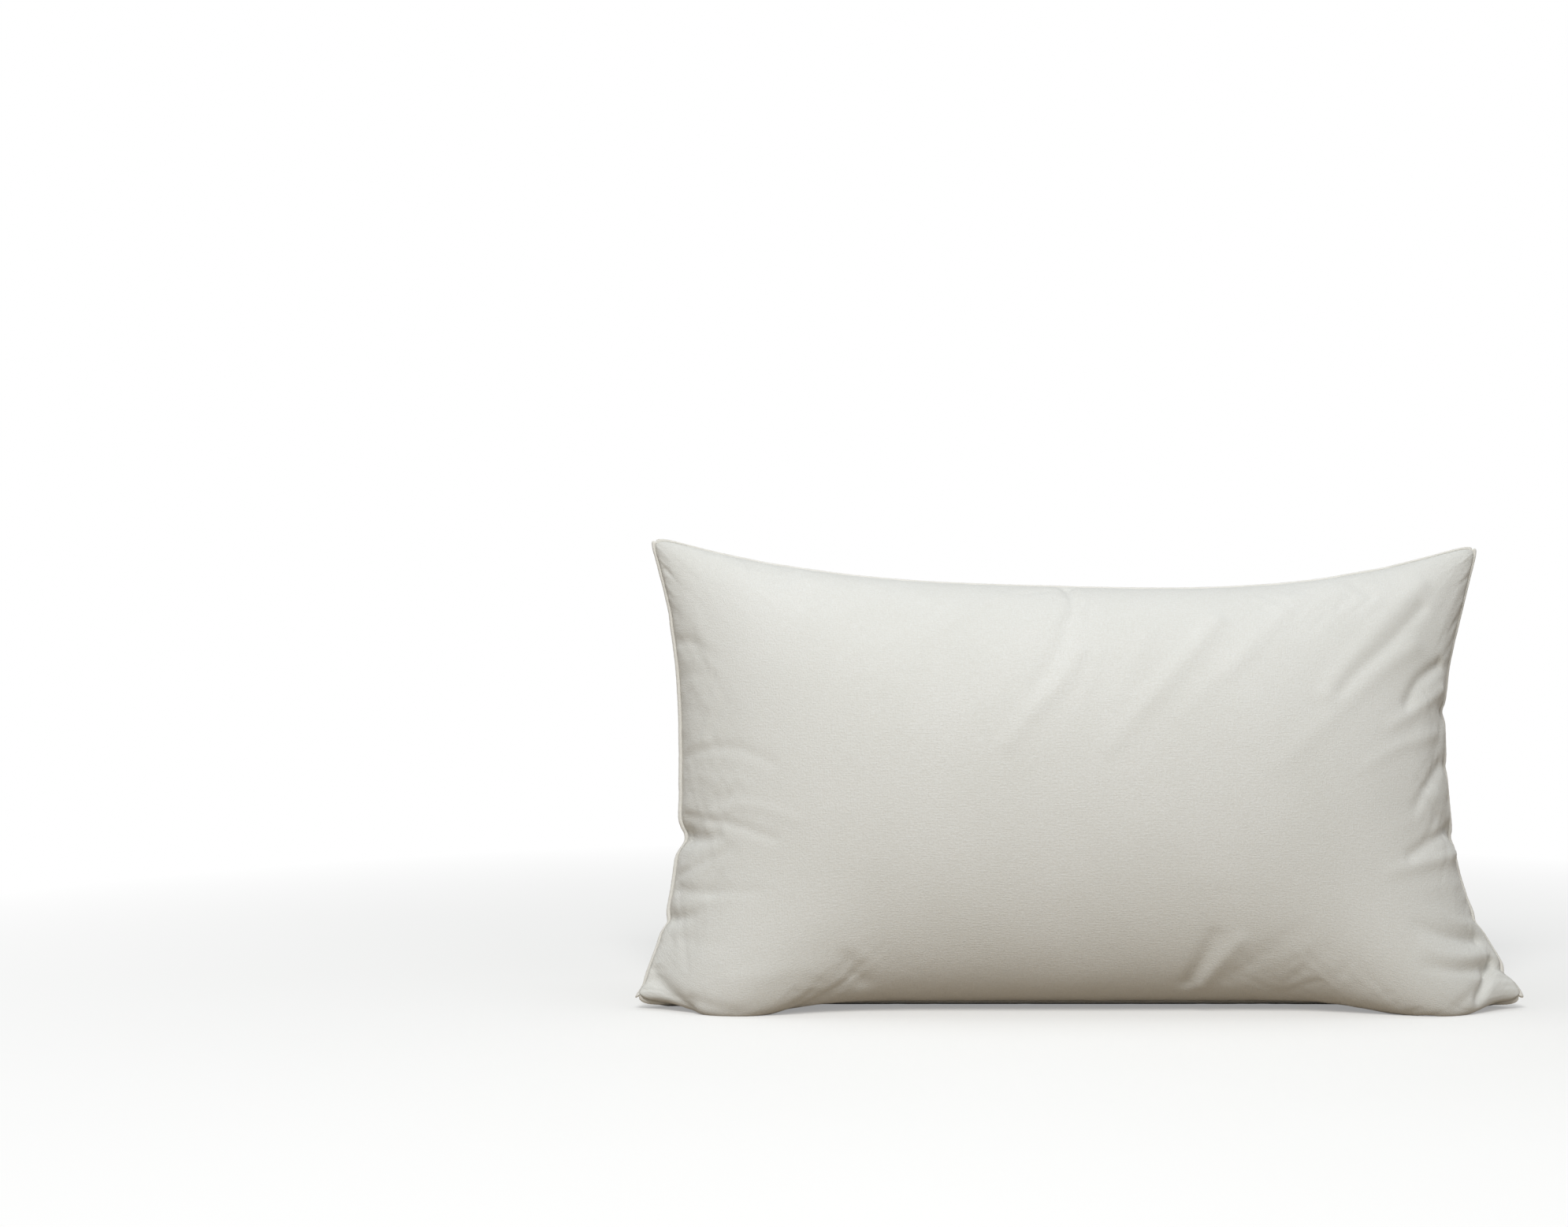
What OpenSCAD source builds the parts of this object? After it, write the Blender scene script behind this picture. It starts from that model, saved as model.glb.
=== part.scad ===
// Bed pillow with a piped edge, standing on one long side and leaning back.
//
// X runs along the long side, Y from the front face to the back face, and Z is up.
// The origin is on the ground, under the middle of the pillow.
// Every layer is worked out from one rule, cushion_point(), as a closed solid
// between two skins. u and v run from -1 to 1 across the pillow and up it.

/* [Pillow] */
// Distance between the tips of the two lower ears
ear_span = 780; // [600:5:900]
// Distance between the two upper corners
top_span = 764; // [600:5:900]
// Width half way up, where the short sides are pulled in
waist_span = 698; // [540:5:860]
// How far the right-hand side is drawn in further than the left-hand one
right_tuck = 14; // [0:1:16]
// Height of the seam plane in the middle of the pillow
mid_height = 381; // [300:1:460]
// How far each upper corner stands above the middle of the top edge
corner_rise = 43; // [10:1:60]
// How far the top edge slumps to the right of its middle
top_slump = 13; // [0:1:15]
// How far the filling pushes the front face out
front_loft = 108; // [60:1:120]
// How far the filling pushes the back face out
back_loft = 106; // [60:1:120]
// How far the pillow leans back
lean = 15; // [8:1:20]
// Height of the bottom seam above the ground
seam_height = 7; // [6:0.5:12]
// How much the tip of each corner is rounded off
tip_round = 5; // [0:0.5:8]

/* [Settling] */
// How far the filling sinks against the front face
front_sag = 26; // [10:1:40]
// How far the filling sinks against the back face
back_sag = 66; // [40:1:80]
// How far each lower corner of the front face bulges forward
lobe_forward = 27; // [0:1:40]
// How far each lower corner of the front face bulges down
lobe_down = 34; // [0:1:50]
// How far the two lower ears stand forward
ear_forward = 12; // [0:1:14]

/* [Shell] */
// Thickness of the ticking, with its down-proof coating
ticking = 0.8; // [0.6:0.1:1.2]
// Half of the space that the piping takes up between the two tickings
seam_half = 0.7; // [0.5:0.1:1]
// Width of the seam allowance that is turned inside
allowance = 9; // [6:0.5:12]
// Radius of the piping's bead
bead_radius = 2.1; // [1.8:0.1:3]
// Thickness of the bias strip that wraps the piping cord
strip = 0.35; // [0.25:0.05:0.4]
// Radius of the piping's filler cord
cord_radius = 1.3; // [1:0.1:1.3]
// Radius of the sewing thread
thread_radius = 0.25; // [0.2:0.05:0.3]

/* [Closing seam] */
// Number of stitches that close the filling opening
stitch_count = 30; // [20:1:36]
// Length of one closing stitch
stitch_length = 3.2; // [2.5:0.1:3.5]

/* [Filling] */
// Thickness of the soft layer on each side of the core
soft_layer = 26; // [15:1:35]
// Thickness of the cloth of the core's bag
bag_cloth = 0.8; // [0.6:0.1:1]

/* [Labels] */
// Width of the care label along the seam
care_width = 60; // [40:1:65]
// Free length of the care label
care_length = 38; // [25:1:40]
// Width of the size label along the seam
size_width = 34; // [25:1:45]
// Free length of the size label
size_length = 30; // [20:1:40]

/* [Hidden] */

FRONT = -1;
BACK = 1;

// Number of facets across and up a ticking, and across and up a layer inside it
shell_cells = [28, 18];
inner_cells = [22, 14];

// Powers that shape the outline and the crown: higher is flatter in the middle
waist_power = 2.6;
top_power = 2.8;
crown_across = [3.2, 0.62];
crown_up = [2.2, 0.56];
sag_power = 0.8;
tuck_power = 6;
tuck_fade = 4;
tip_power = 40;

// Middle and size of the tuck in v, and of the slump in u
tuck_place = [-0.15, 0.8];
slump_place = [0.5, 0.75];

// Centre of each lobe in u and v, its size, and the crown height over which it starts
lobe_centre = [0.86, -0.84];
lobe_size = [0.25, 0.35];
lobe_start = 0.2;

// Power of an ear's start along the bottom seam, and its reach up the seam plane
ear_power = 6;
ear_reach = 60;

// Distances in from the seam, and in from the crown
air = 0.4;
shoulder = seam_half + 2 * ticking + air;
soft_rim = allowance + 3;
soft_inset = ticking + 2.7;
bag_rim = soft_rim + soft_layer - 6;
bag_inset = soft_inset + soft_layer;

bead_centre = bead_radius + 0.5;
allowance_slit = 0.12;
thread_inset = 4;
thread_side = seam_half + ticking + thread_radius + 0.15;

// Where the labels sit up the right-hand seam, and the closed opening on the left
care_place = -0.22;
size_place = 0.2;
label_thickness = 0.5;
label_root = [1.2, 2.9];
opening = [-0.36, 0.36];
stitch_place = [0.75, 1.75];
stitch_radius = 0.3;

// The middle of the seam plane
seam_centre_y = 1.3;
seam_centre_z = seam_height + mid_height / 2 * cos(lean);

// ---- The rule for every layer ----

// Half of the width, and half of the height, at u and v
function half_width(u, v) =
    let (
        corner = (v > 0 ? top_span : ear_span) / 2,
        tuck = right_tuck * (1 - pow(abs(v), tuck_fade))
            * exp(-pow((v - tuck_place[0]) / tuck_place[1], tuck_fade))
    )
    waist_span / 2 + (corner - waist_span / 2) * pow(abs(v), waist_power)
    - tuck * pow(max(u, 0), tuck_power);
function half_height(u, v) =
    let (slump = top_slump * exp(-pow((u - slump_place[0]) / slump_place[1], 2)))
    mid_height / 2 + (v > 0 ? corner_rise * pow(abs(u), top_power) - slump : 0);

// Height of the crown at u and v, from 0 at the seam to 1 in the middle
function crown(u, v) =
    pow(1 - pow(abs(u), crown_across[0]), crown_across[1])
    * pow(1 - pow(abs(v), crown_up[0]), crown_up[1]);

// Share of a lobe at u and v
function lobe(u, v) =
    exp(-pow((abs(u) - lobe_centre[0]) / lobe_size[0], 2)
        - pow((v - lobe_centre[1]) / lobe_size[1], 2))
    * (1 - exp(-pow(crown(u, v) / lobe_start, 2)));

// How far the ears stand forward at x and h, across and up the seam plane
function ear_way(x, h) =
    ear_forward * pow(abs(x) / (ear_span / 2), ear_power)
    * exp(-pow((h + mid_height / 2) / ear_reach, 2));

// A point of the leaning seam plane, out along the plane's normal by w
function lean_back(x, h, w) = [
    x,
    seam_centre_y + h * sin(lean) + w * cos(lean) - ear_way(x, h),
    seam_centre_z + h * cos(lean) - w * sin(lean)
];

// A point on the seam, moved out of the pillow by out, and to its back by w
function seam_point(u, v, out, w) =
    let (tip = tip_round * pow(abs(u * v), tip_power))
    lean_back(
        u * (half_width(u, v) + out - tip),
        v * (half_height(u, v) + out - tip),
        w
    );

// A point of a skin. skin = [inset from the seam, inset from the crown, lift at the seam]
function cushion_point(u, v, side, skin) =
    let (
        loft = (side == FRONT ? front_loft : back_loft) - skin[1] - skin[2],
        height = crown(u, v),
        p = seam_point(u, v, -skin[0], side * (skin[2] + loft * height)),
        settle = pow(height, sag_power) * (1 - v) / 2,
        bulge = side == FRONT ? lobe(u, v) : 0,
        down = (side == FRONT ? front_sag : back_sag) * settle + lobe_down * bulge
    )
    [p[0], p[1] - lobe_forward * bulge, max(p[2] - down, skin[1])];

// ---- Grids of points ----

// Runs from -1 to 1 in even steps of t, and comes closer together at the ends
function ease(t) = 0.7 * sin(90 * t) + 0.3 * t;
function step_at(i, count) = ease(2 * i / count - 1);

function skin_points(cells, side, skin) = [
    for (j = [0 : cells[1]], i = [0 : cells[0]])
    cushion_point(step_at(i, cells[0]), step_at(j, cells[1]), side, skin)
];

// The edge of a grid as steps [i, j], from the lower left corner by the lower right one
function rim_steps(cells) = concat(
    [for (i = [0 : cells[0] - 1]) [i, 0]],
    [for (j = [0 : cells[1] - 1]) [cells[0], j]],
    [for (i = [cells[0] : -1 : 1]) [i, cells[1]]],
    [for (j = [cells[1] : -1 : 1]) [0, j]]
);
function rim_point(cells, s, out, w) =
    seam_point(step_at(s[0], cells[0]), step_at(s[1], cells[1]), out, w);

// ---- Faces ----

function turned(faces, over) =
    over ? [for (f = faces) [f[2], f[1], f[0]]] : faces;

// Two triangles for each cell of a grid whose points start at number first. The cells
// are split along the diagonals that run from the middle to the nearest corner.
function grid_faces(cells, first) =
    let (row = cells[0] + 1)
    [for (j = [0 : cells[1] - 1], i = [0 : cells[0] - 1], half = [0, 1])
        let (
            a = first + j * row + i,
            b = a + 1,
            c = b + row,
            d = a + row,
            rising = (2 * i < cells[0]) == (2 * j < cells[1])
        )
        rising
            ? (half == 0 ? [a, d, c] : [a, c, b])
            : (half == 0 ? [a, d, b] : [d, c, b])];

// A band of triangles between two closed loops of point numbers
function band_faces(lower, upper) =
    let (count = len(lower))
    [for (k = [0 : count - 1], half = [0, 1])
        let (next = (k + 1) % count)
        half == 0
            ? [lower[k], lower[next], upper[next]]
            : [lower[k], upper[next], upper[k]]];

// ---- Solids made from the rule ----

// A closed solid between an outer and an inner skin. hems are loops at the seam,
// each [inset from the seam, distance from the seam plane], from the outer skin in.
module layer(cells, side, outer, inner, hems = []) {
    rim = rim_steps(cells);
    row = cells[0] + 1;
    size = row * (cells[1] + 1);
    hem_points = [for (h = hems, s = rim) rim_point(cells, s, -h[0], side * h[1])];
    loops = concat(
        [[for (s = rim) s[1] * row + s[0]]],
        [for (h = [0 : 1 : len(hems) - 1]) [for (k = [0 : len(rim) - 1]) 2 * size + h * len(rim) + k]],
        [[for (s = rim) size + s[1] * row + s[0]]]
    );
    bands = [for (n = [0 : len(loops) - 2]) each band_faces(loops[n], loops[n + 1])];
    polyhedron(
        concat(skin_points(cells, side, outer), skin_points(cells, side, inner), hem_points),
        concat(
            turned(grid_faces(cells, 0), side == BACK),
            turned(grid_faces(cells, size), side == FRONT),
            turned(bands, side == BACK)
        )
    );
}

// A closed solid with a front and a back skin that meet at the seam
module pad(cells, skin) {
    size = (cells[0] + 1) * (cells[1] + 1);
    loop = [for (s = rim_steps(cells)) s[1] * (cells[0] + 1) + s[0]];
    polyhedron(
        concat(skin_points(cells, FRONT, skin), skin_points(cells, BACK, skin)),
        concat(
            grid_faces(cells, 0),
            turned(grid_faces(cells, size), true),
            band_faces(loop, [for (k = loop) k + size])
        )
    );
}

// A closed ring that carries an outline, of points [out, w], round the seam
module seam_ring(cells, outline) {
    rim = rim_steps(cells);
    count = len(outline);
    points = [for (s = rim, p = outline) rim_point(cells, s, p[0], p[1])];
    loops = [for (k = [0 : len(rim) - 1]) [for (n = [0 : count - 1]) k * count + n]];
    polyhedron(
        points,
        [for (k = [0 : len(rim) - 1]) each band_faces(loops[k], loops[(k + 1) % len(rim)])]
    );
}

// Outline of a thread or a cord, as a polygon round a centre
function round_outline(centre, radius, sides) =
    [for (n = [0 : sides - 1])
        let (a = -360 * (n + 0.5) / sides)
        centre + radius * [cos(a), sin(a)]];

// Outline of the bias strip: in along one side of the seam, round the cord, and back
function strip_outline() =
    let (
        half = allowance_slit + strip,
        outer_start = asin(half / bead_radius),
        inner_radius = bead_radius - strip,
        inner_start = asin(allowance_slit / inner_radius),
        steps = 7
    )
    concat(
        [[-allowance, half]],
        [for (n = [0 : steps])
            let (a = 180 - outer_start - n * 2 * (180 - outer_start) / steps)
            [bead_centre + bead_radius * cos(a), bead_radius * sin(a)]],
        [[-allowance, -half], [-allowance, -allowance_slit]],
        [for (n = [0 : steps])
            let (a = inner_start - 180 + n * 2 * (180 - inner_start) / steps)
            [bead_centre + inner_radius * cos(a), inner_radius * sin(a)]],
        [[-allowance, allowance_slit]]
    );

function unit(v) = v / norm(v);

// Hangs a child from the right-hand seam: its Z along the seam, and its Y the way that
// its own weight turns it about the seam
module at_right_seam(place, width) {
    reach = width / mid_height;
    low = seam_point(1, place - reach, label_root[0], label_root[1]);
    high = seam_point(1, place + reach, label_root[0], label_root[1]);
    along = unit(high - low);
    back = [0, cos(lean), -sin(lean)];
    side = unit(cross(back, along));
    middle = (low + high) / 2;
    hang = atan2(-side[2], -back[2]);
    multmatrix([
        [side[0], back[0], along[0], middle[0]],
        [side[1], back[1], along[1], middle[1]],
        [side[2], back[2], along[2], middle[2]]
    ])
    rotate([0, 0, -hang])
    children();
}

// A woven label with its folded root on the seam
module label(width, length) {
    cylinder(r = label_thickness / 2, h = width, center = true, $fn = 24);
    translate([-label_thickness / 2, 0, -width / 2])
        cube([label_thickness, length, width]);
}

// ---- Sub-parts ----

// A panel of ticking rises over its own seam allowance, and clear of it
module shell_panel(side) {
    allowance_top = seam_half + ticking;
    layer(
        shell_cells, side, [0, 0, shoulder], [ticking, ticking, shoulder - ticking],
        [
            [0, seam_half], [allowance, seam_half],
            [allowance, allowance_top], [ticking, allowance_top]
        ]
    );
}

module soft_panel(side) {
    layer(
        inner_cells, side, [soft_rim, soft_inset, seam_half],
        [bag_rim - 2 * air, bag_inset - air, seam_half]
    );
}

module bag_panel(side) {
    layer(
        inner_cells, side, [bag_rim, bag_inset, air / 2],
        [bag_rim + bag_cloth, bag_inset + bag_cloth, air / 2]
    );
}

module front_ticking() {
    color("ivory")
    shell_panel(FRONT);
}

module back_ticking() {
    color("ivory")
    shell_panel(BACK);
}

module piping_sleeve() {
    color("floralwhite")
    seam_ring(shell_cells, strip_outline());
}

module piping_cord() {
    color("white")
    seam_ring(shell_cells, round_outline([bead_centre, 0], cord_radius, 6));
}

// The needle thread lies on the front allowance, and the bobbin thread on the back one
module seam_thread() {
    color("white")
    for (side = [FRONT, BACK])
        seam_ring(
            shell_cells,
            round_outline([-thread_inset, side * thread_side], thread_radius, 4)
        );
}

module closing_stitches() {
    pitch = (opening[1] - opening[0]) / stitch_count;
    reach = stitch_length / mid_height;
    color("white")
    for (n = [0 : stitch_count - 1]) {
        v = opening[0] + (n + 0.5) * pitch;
        low = seam_point(-1, v - reach, stitch_place[0], stitch_place[1]);
        high = seam_point(-1, v + reach, stitch_place[0], stitch_place[1]);
        way = high - low;
        translate(low)
            rotate([0, acos(way[2] / norm(way)), atan2(way[1], way[0])])
            cylinder(r = stitch_radius, h = norm(way), $fn = 16);
    }
}

module front_soft_layer() {
    color("whitesmoke")
    soft_panel(FRONT);
}

module back_soft_layer() {
    color("whitesmoke")
    soft_panel(BACK);
}

module core_bag_front() {
    color("linen")
    bag_panel(FRONT);
}

module core_bag_back() {
    color("linen")
    bag_panel(BACK);
}

module core_bag_thread() {
    centre = thread_radius + air / 2 - bag_rim;
    color("white")
    seam_ring(inner_cells, round_outline([centre, 0], thread_radius, 4));
}

module core_filling() {
    inset = bag_cloth + air;
    color("white")
    pad(inner_cells, [bag_rim + inset, bag_inset + inset, air / 2]);
}

module care_label() {
    color("white")
    at_right_seam(care_place, care_width)
        label(care_width, care_length);
}

module size_label() {
    color("white")
    at_right_seam(size_place, size_width)
        label(size_width, size_length);
}

front_ticking();
back_ticking();
piping_sleeve();
piping_cord();
seam_thread();
closing_stitches();
front_soft_layer();
back_soft_layer();
core_bag_front();
core_bag_back();
core_bag_thread();
core_filling();
care_label();
size_label();
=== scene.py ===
"""A bed pillow with a piped edge: cloth, seams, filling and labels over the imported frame."""

import math

import bmesh
import bpy
import numpy as np
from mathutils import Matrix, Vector, noise


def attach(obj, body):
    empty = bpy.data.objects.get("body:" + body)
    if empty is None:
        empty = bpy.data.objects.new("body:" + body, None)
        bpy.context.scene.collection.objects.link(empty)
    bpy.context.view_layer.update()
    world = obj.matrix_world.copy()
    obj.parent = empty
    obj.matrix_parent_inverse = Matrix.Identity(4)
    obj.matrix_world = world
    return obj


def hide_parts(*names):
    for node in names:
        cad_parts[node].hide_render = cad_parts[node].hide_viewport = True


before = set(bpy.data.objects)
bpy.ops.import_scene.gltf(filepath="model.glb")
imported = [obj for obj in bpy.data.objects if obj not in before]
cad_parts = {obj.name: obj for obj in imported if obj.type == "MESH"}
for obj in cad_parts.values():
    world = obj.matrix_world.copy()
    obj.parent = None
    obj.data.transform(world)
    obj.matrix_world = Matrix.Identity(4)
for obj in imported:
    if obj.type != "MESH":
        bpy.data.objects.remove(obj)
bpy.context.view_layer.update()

FRONT, BACK = -1, 1

# The pillow's rule, the same as in the part's source, in metres
EAR_SPAN, TOP_SPAN, WAIST_SPAN = 0.780, 0.764, 0.698
MID_HEIGHT, CORNER_RISE = 0.381, 0.043
RIGHT_TUCK, TOP_SLUMP = 0.014, 0.013
LOFT = {FRONT: 0.108, BACK: 0.106}
SAG = {FRONT: 0.026, BACK: 0.066}
LEAN = math.radians(15)
SEAM_HEIGHT, TIP_ROUND = 0.007, 0.005
LOBE_FORWARD, LOBE_DOWN = 0.027, 0.034
EAR_FORWARD = 0.012
TICKING, SEAM_HALF, ALLOWANCE, AIR = 0.0008, 0.0007, 0.009, 0.0004
SHOULDER = SEAM_HALF + 2 * TICKING + AIR
BEAD_RADIUS, STRIP, CORD_RADIUS, THREAD_RADIUS = 0.0021, 0.00035, 0.0013, 0.00025
BEAD_CENTRE = BEAD_RADIUS + 0.0005
SOFT_RIM, SOFT_INSET = 0.012, 0.0035
BAG_RIM, BAG_INSET, BAG_CLOTH = 0.032, 0.0295, 0.0008
SEAM_CENTRE_Y = 0.0013
SEAM_CENTRE_Z = SEAM_HEIGHT + MID_HEIGHT / 2 * math.cos(LEAN)

# Powers of the rule's curves, and the middle and size of each of its swellings
WAIST_POWER, TOP_POWER, TIP_POWER, SAG_POWER = 2.6, 2.8, 40, 0.8
CROWN_ACROSS, CROWN_UP = (3.2, 0.62), (2.2, 0.56)
TUCK_POWER, TUCK_FADE, TUCK_PLACE = 6, 4, (-0.15, 0.8)
SLUMP_PLACE = (0.5, 0.75)
LOBE_CENTRE, LOBE_SIZE, LOBE_START = (0.86, -0.84), (0.25, 0.35), 0.20
EAR_POWER, EAR_REACH = 6, 0.060

# Where the two labels sit up the right-hand seam, in v, and their roots: out from the
# seam and to its back
CARE_PLACE, SIZE_PLACE = -0.22, 0.2
LABEL_ROOT = (0.0012, 0.0029)

# The flat size of the bag before it was filled, and the grids of its cloth
FLAT = (0.800, 0.500)
CELLS = (300, 188)
BAG_CELLS = (144, 90)


# ---- The pillow's rule ----

def half_width(u, v):
    corner = np.where(v > 0, TOP_SPAN, EAR_SPAN) / 2
    tuck = RIGHT_TUCK * (1 - np.abs(v) ** TUCK_FADE) * np.exp(
        -(((v - TUCK_PLACE[0]) / TUCK_PLACE[1]) ** TUCK_FADE)
    )
    wide = WAIST_SPAN / 2 + (corner - WAIST_SPAN / 2) * np.abs(v) ** WAIST_POWER
    return wide - tuck * np.maximum(u, 0) ** TUCK_POWER


def half_height(u, v):
    slump = TOP_SLUMP * np.exp(-(((u - SLUMP_PLACE[0]) / SLUMP_PLACE[1]) ** 2))
    rise = CORNER_RISE * np.abs(u) ** TOP_POWER - slump
    return MID_HEIGHT / 2 + np.where(v > 0, rise, 0)


def crown(u, v):
    """Height of the filled pillow over its seam plane, from 0 at the seam to 1."""
    across = (1 - np.abs(u) ** CROWN_ACROSS[0]).clip(0) ** CROWN_ACROSS[1]
    return across * (1 - np.abs(v) ** CROWN_UP[0]).clip(0) ** CROWN_UP[1]


def lobe(u, v):
    """Share of the bulge at each lower corner of the front face."""
    across = (np.abs(u) - LOBE_CENTRE[0]) / LOBE_SIZE[0]
    up = (v - LOBE_CENTRE[1]) / LOBE_SIZE[1]
    return np.exp(-(across**2) - up**2) * (1 - np.exp(-((crown(u, v) / LOBE_START) ** 2)))


def ear_share(x, h):
    """Share of the way forward that an ear stands, across and up the seam plane."""
    across = (np.abs(x) / (EAR_SPAN / 2)) ** EAR_POWER
    return across * np.exp(-(((h + MID_HEIGHT / 2) / EAR_REACH) ** 2))


def turn_back(x, h, w):
    """A direction across, up and out of the leaning seam plane, in the row frame."""
    x, h, w = np.broadcast_arrays(x, h, w)
    return np.stack(
        [
            x,
            h * math.sin(LEAN) + w * math.cos(LEAN),
            h * math.cos(LEAN) - w * math.sin(LEAN),
        ],
        -1,
    )


def seam_point(u, v, out, w):
    """A point on the seam, moved out of the pillow by out, and to its back by w."""
    tip = TIP_ROUND * np.abs(u * v) ** TIP_POWER
    x = u * (half_width(u, v) + out - tip)
    h = v * (half_height(u, v) + out - tip)
    p = turn_back(x, h, w) + (0, SEAM_CENTRE_Y, SEAM_CENTRE_Z)
    p[..., 1] -= EAR_FORWARD * ear_share(x, h)
    return p


def cushion_point(u, v, side, rim, inset, lift):
    """A point of a skin, rim in from the seam, inset in from the crown, lifted at the seam."""
    height = crown(u, v)
    w = side * (lift + (LOFT[side] - inset - lift) * height)
    p = seam_point(u, v, -rim, w)
    bulge = lobe(u, v) if side == FRONT else 0 * height
    down = SAG[side] * height**SAG_POWER * (1 - v) / 2 + LOBE_DOWN * bulge
    p[..., 1] -= LOBE_FORWARD * bulge
    p[..., 2] = np.maximum(p[..., 2] - down, inset)
    return p


def ease(t):
    """Where a thread of the flat cloth at t lies across the pillow."""
    return 0.7 * np.sin(np.pi / 2 * t) + 0.3 * t


def cloth_grid(cells):
    """Places s and t, from -1 to 1, of a grid on the flat cloth."""
    return np.meshgrid(
        np.linspace(-1, 1, cells[0] + 1), np.linspace(-1, 1, cells[1] + 1), indexing="ij"
    )


def from_edges(s, t):
    """How far in from the short sides and from the long sides a place on the cloth is."""
    return (1 - np.abs(s)) * FLAT[0] / 2, (1 - np.abs(t)) * FLAT[1] / 2


def flat_places(s, t):
    """Places on the flat cloth in millimetres, which the weave follows."""
    return np.stack([s * FLAT[0] / 2, t * FLAT[1] / 2], -1).reshape(-1, 2) * 1000


def rim_walk(cells):
    """Places s and t round the seam, from the lower left corner by the lower right one."""
    a, b = np.arange(cells[0]) / cells[0] * 2 - 1, np.arange(cells[1]) / cells[1] * 2 - 1
    s = np.concatenate([a, 0 * b + 1, -a, 0 * b - 1])
    t = np.concatenate([0 * a - 1, b, 0 * a + 1, -b])
    return s, t


def sample(field, s, t):
    """The values of a field on the cloth at s and t."""
    nx, ny = field.shape[0] - 1, field.shape[1] - 1
    x = ((np.asarray(s) + 1) / 2 * nx).clip(0, nx - 1e-9)
    y = ((np.asarray(t) + 1) / 2 * ny).clip(0, ny - 1e-9)
    i, j = x.astype(int), y.astype(int)
    fx, fy = (x - i)[..., None], (y - j)[..., None]
    return (
        field[i, j] * (1 - fx) * (1 - fy)
        + field[i + 1, j] * fx * (1 - fy)
        + field[i, j + 1] * (1 - fx) * fy
        + field[i + 1, j + 1] * fx * fy
    )


def resample(field, cells):
    """A field on a finer grid, by smooth interpolation along each axis in turn."""
    for axis, count in enumerate(cells):
        a = np.moveaxis(field, axis, 0)
        n = len(a) - 1
        x = np.linspace(0, n, count + 1)
        i = x.astype(int).clip(0, n - 1)
        f = (x - i).reshape(-1, *[1] * (a.ndim - 1))
        p0, p1, p2, p3 = (a[(i + k).clip(0, n)] for k in (-1, 0, 1, 2))
        a = p1 + 0.5 * f * (
            p2 - p0 + f * (2 * p0 - 5 * p1 + 4 * p2 - p3 + f * (3 * (p1 - p2) + p3 - p0))
        )
        field = np.moveaxis(a, 0, axis)
    return field


def grid_normals(p, side):
    n = np.cross(np.gradient(p, axis=0), np.gradient(p, axis=1))
    n /= np.linalg.norm(n, axis=2, keepdims=True) + 1e-12
    return n * (1 if side == FRONT else -1)


# ---- Meshes ----

def grid_quads(cells, first=0, over=False):
    """Quads of a grid whose points start at number first, with the second index fastest."""
    row = cells[1] + 1
    i, j = np.meshgrid(np.arange(cells[0]), np.arange(cells[1]), indexing="ij")
    a = (first + i * row + j).ravel()
    q = np.stack([a, a + row, a + row + 1, a + 1], 1)
    return q[:, ::-1] if over else q


def rim_numbers(cells):
    row = cells[1] + 1
    i, j = np.arange(cells[0]), np.arange(cells[1])
    return np.concatenate([
        i * row, cells[0] * row + j, (cells[0] - i) * row + cells[1], cells[1] - j
    ])


def band_quads(lower, upper, over=False):
    q = np.stack([lower, upper, np.roll(upper, -1), np.roll(lower, -1)], 1)
    return q[:, ::-1] if over else q


def sheet_quads(cells, side):
    """Quads of a closed sheet between two skins whose points follow each other."""
    size = (cells[0] + 1) * (cells[1] + 1)
    rim = rim_numbers(cells)
    over = side == BACK
    return np.concatenate([
        grid_quads(cells, 0, over), grid_quads(cells, size, not over),
        band_quads(rim, size + rim, over),
    ])


def face_outward(mesh):
    work = bmesh.new()
    work.from_mesh(mesh)
    bmesh.ops.recalc_face_normals(work, faces=work.faces)
    work.to_mesh(mesh)
    work.free()


def mesh_piece(name, points, quads, flat=None, seam=None):
    """A smooth mesh. flat holds its places on the flat cloth, and seam how near it is to one."""
    me = bpy.data.meshes.new(name)
    me.from_pydata(np.asarray(points).tolist(), [], np.asarray(quads).tolist())
    me.validate()
    me.shade_smooth()
    if flat is not None:
        layer = me.uv_layers.new(name="cloth")
        corners = np.empty(len(me.loops), int)
        me.loops.foreach_get("vertex_index", corners)
        layer.data.foreach_set("uv", np.asarray(flat)[corners].astype(np.float32).ravel())
    if seam is not None:
        me.attributes.new("seam", "FLOAT", "POINT").data.foreach_set(
            "value", np.asarray(seam, np.float32)
        )
    me.update()
    ob = bpy.data.objects.new(name, me)
    bpy.context.scene.collection.objects.link(ob)
    return ob


def ring_tube(name, centre_outlines, scale=1000.0):
    """A closed tube from an array of outlines, one for each place round the seam."""
    n, m = centre_outlines.shape[:2]
    points = centre_outlines.reshape(-1, 3)
    k, e = np.meshgrid(np.arange(n), np.arange(m), indexing="ij")
    a = (k * m + e).ravel()
    b = (((k + 1) % n) * m + e).ravel()
    c = (((k + 1) % n) * m + (e + 1) % m).ravel()
    d = (k * m + (e + 1) % m).ravel()
    middle = centre_outlines.mean(1)
    step = np.linalg.norm(np.roll(middle, -1, 0) - middle, axis=1)
    along = np.concatenate([[0], np.cumsum(step)[:-1]])
    girth = np.linalg.norm(np.diff(centre_outlines[0], axis=0), axis=1)
    round_ = np.concatenate([[0], np.cumsum(girth)])
    flat = np.stack(np.meshgrid(along, round_, indexing="ij"), -1).reshape(-1, 2) * scale
    return mesh_piece(name, points, np.stack([a, b, c, d], 1), flat)


# ---- How the cloth creases: a flat bag blown up by its filling ----

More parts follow.
